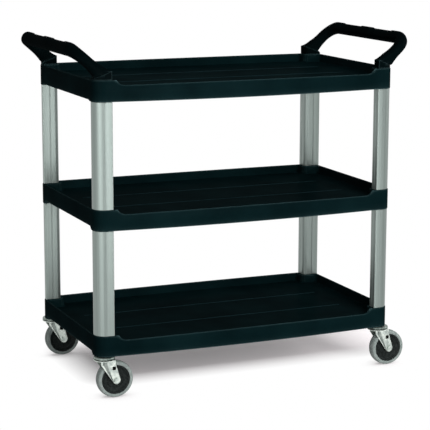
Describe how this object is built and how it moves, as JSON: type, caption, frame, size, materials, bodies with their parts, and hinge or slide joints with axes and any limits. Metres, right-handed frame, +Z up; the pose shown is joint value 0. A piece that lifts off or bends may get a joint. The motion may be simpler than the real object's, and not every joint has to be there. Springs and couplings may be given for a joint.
{
  "type": "food service trolley",
  "caption": "Utility trolley with moulded lipped shelves on aluminium uprights, a moulded push handle at each end and swivel casters.",
  "frame": {"origin": "on the floor under the middle of the trolley", "axes": "+X along the length, +Y to the rear long side, +Z up; the lowered front lips face -Y"},
  "size_m": [1.0108, 0.5166, 0.9569],
  "materials": {
    "black_polypropylene": "fine moulded grain",
    "anodised_aluminium": "satin anodised, drawn lengthwise",
    "zinc_plated_steel": "bright zinc plate",
    "oiled_bearing_steel": "oiled",
    "black_nylon": "matt",
    "grey_rubber": "matt"
  },
  "bodies": {
    "frame": {"bottom_shelf": "black_polypropylene", "middle_shelf": "black_polypropylene", "top_shelf": "black_polypropylene", "left_handle": "black_polypropylene", "right_handle": "black_polypropylene", "lower_upright_front_left": "anodised_aluminium", "lower_upright_front_right": "anodised_aluminium", "lower_upright_rear_left": "anodised_aluminium", "lower_upright_rear_right": "anodised_aluminium", "upper_upright_front_left": "anodised_aluminium", "upper_upright_front_right": "anodised_aluminium", "upper_upright_rear_left": "anodised_aluminium", "upper_upright_rear_right": "anodised_aluminium", "caster_stem_front_left": "zinc_plated_steel", "swivel_cap_front_left": "zinc_plated_steel", "swivel_bearing_front_left": "oiled_bearing_steel", "caster_stem_front_right": "zinc_plated_steel", "swivel_cap_front_right": "zinc_plated_steel", "swivel_bearing_front_right": "oiled_bearing_steel", "caster_stem_rear_left": "zinc_plated_steel", "swivel_cap_rear_left": "zinc_plated_steel", "swivel_bearing_rear_left": "oiled_bearing_steel", "caster_stem_rear_right": "zinc_plated_steel", "swivel_cap_rear_right": "zinc_plated_steel", "swivel_bearing_rear_right": "oiled_bearing_steel"},
    "fork_front_left": {"fork_front_left": "zinc_plated_steel", "axle_bolt_front_left": "zinc_plated_steel", "axle_nut_front_left": "zinc_plated_steel", "axle_sleeve_front_left": "zinc_plated_steel"},
    "wheel_front_left": {"hub_front_left": "black_nylon", "tyre_front_left": "grey_rubber"},
    "fork_front_right": {"fork_front_right": "zinc_plated_steel", "axle_bolt_front_right": "zinc_plated_steel", "axle_nut_front_right": "zinc_plated_steel", "axle_sleeve_front_right": "zinc_plated_steel"},
    "wheel_front_right": {"hub_front_right": "black_nylon", "tyre_front_right": "grey_rubber"},
    "fork_rear_left": {"fork_rear_left": "zinc_plated_steel", "axle_bolt_rear_left": "zinc_plated_steel", "axle_nut_rear_left": "zinc_plated_steel", "axle_sleeve_rear_left": "zinc_plated_steel"},
    "wheel_rear_left": {"hub_rear_left": "black_nylon", "tyre_rear_left": "grey_rubber"},
    "fork_rear_right": {"fork_rear_right": "zinc_plated_steel", "axle_bolt_rear_right": "zinc_plated_steel", "axle_nut_rear_right": "zinc_plated_steel", "axle_sleeve_rear_right": "zinc_plated_steel"},
    "wheel_rear_right": {"hub_rear_right": "black_nylon", "tyre_rear_right": "grey_rubber"}
  },
  "joints": [
    {"name": "swivel_front_left", "type": "hinge", "parent": "frame", "child": "fork_front_left", "pos_m": [-0.417, -0.22875, 0.11], "axis": [0, 0, 1], "continuous": true},
    {"name": "wheel_spin_front_left", "type": "hinge", "parent": "fork_front_left", "child": "wheel_front_left", "pos_m": [-0.389, -0.22875, 0.0508], "axis": [0, 1, 0], "continuous": true},
    {"name": "swivel_front_right", "type": "hinge", "parent": "frame", "child": "fork_front_right", "pos_m": [0.417, -0.22875, 0.11], "axis": [0, 0, 1], "continuous": true},
    {"name": "wheel_spin_front_right", "type": "hinge", "parent": "fork_front_right", "child": "wheel_front_right", "pos_m": [0.445, -0.22875, 0.0508], "axis": [0, 1, 0], "continuous": true},
    {"name": "swivel_rear_left", "type": "hinge", "parent": "frame", "child": "fork_rear_left", "pos_m": [-0.417, 0.22875, 0.11], "axis": [0, 0, 1], "continuous": true},
    {"name": "wheel_spin_rear_left", "type": "hinge", "parent": "fork_rear_left", "child": "wheel_rear_left", "pos_m": [-0.389, 0.22875, 0.0508], "axis": [0, 1, 0], "continuous": true},
    {"name": "swivel_rear_right", "type": "hinge", "parent": "frame", "child": "fork_rear_right", "pos_m": [0.417, 0.22875, 0.11], "axis": [0, 0, 1], "continuous": true},
    {"name": "wheel_spin_rear_right", "type": "hinge", "parent": "fork_rear_right", "child": "wheel_rear_right", "pos_m": [0.445, 0.22875, 0.0508], "axis": [0, 1, 0], "continuous": true}
  ]
}
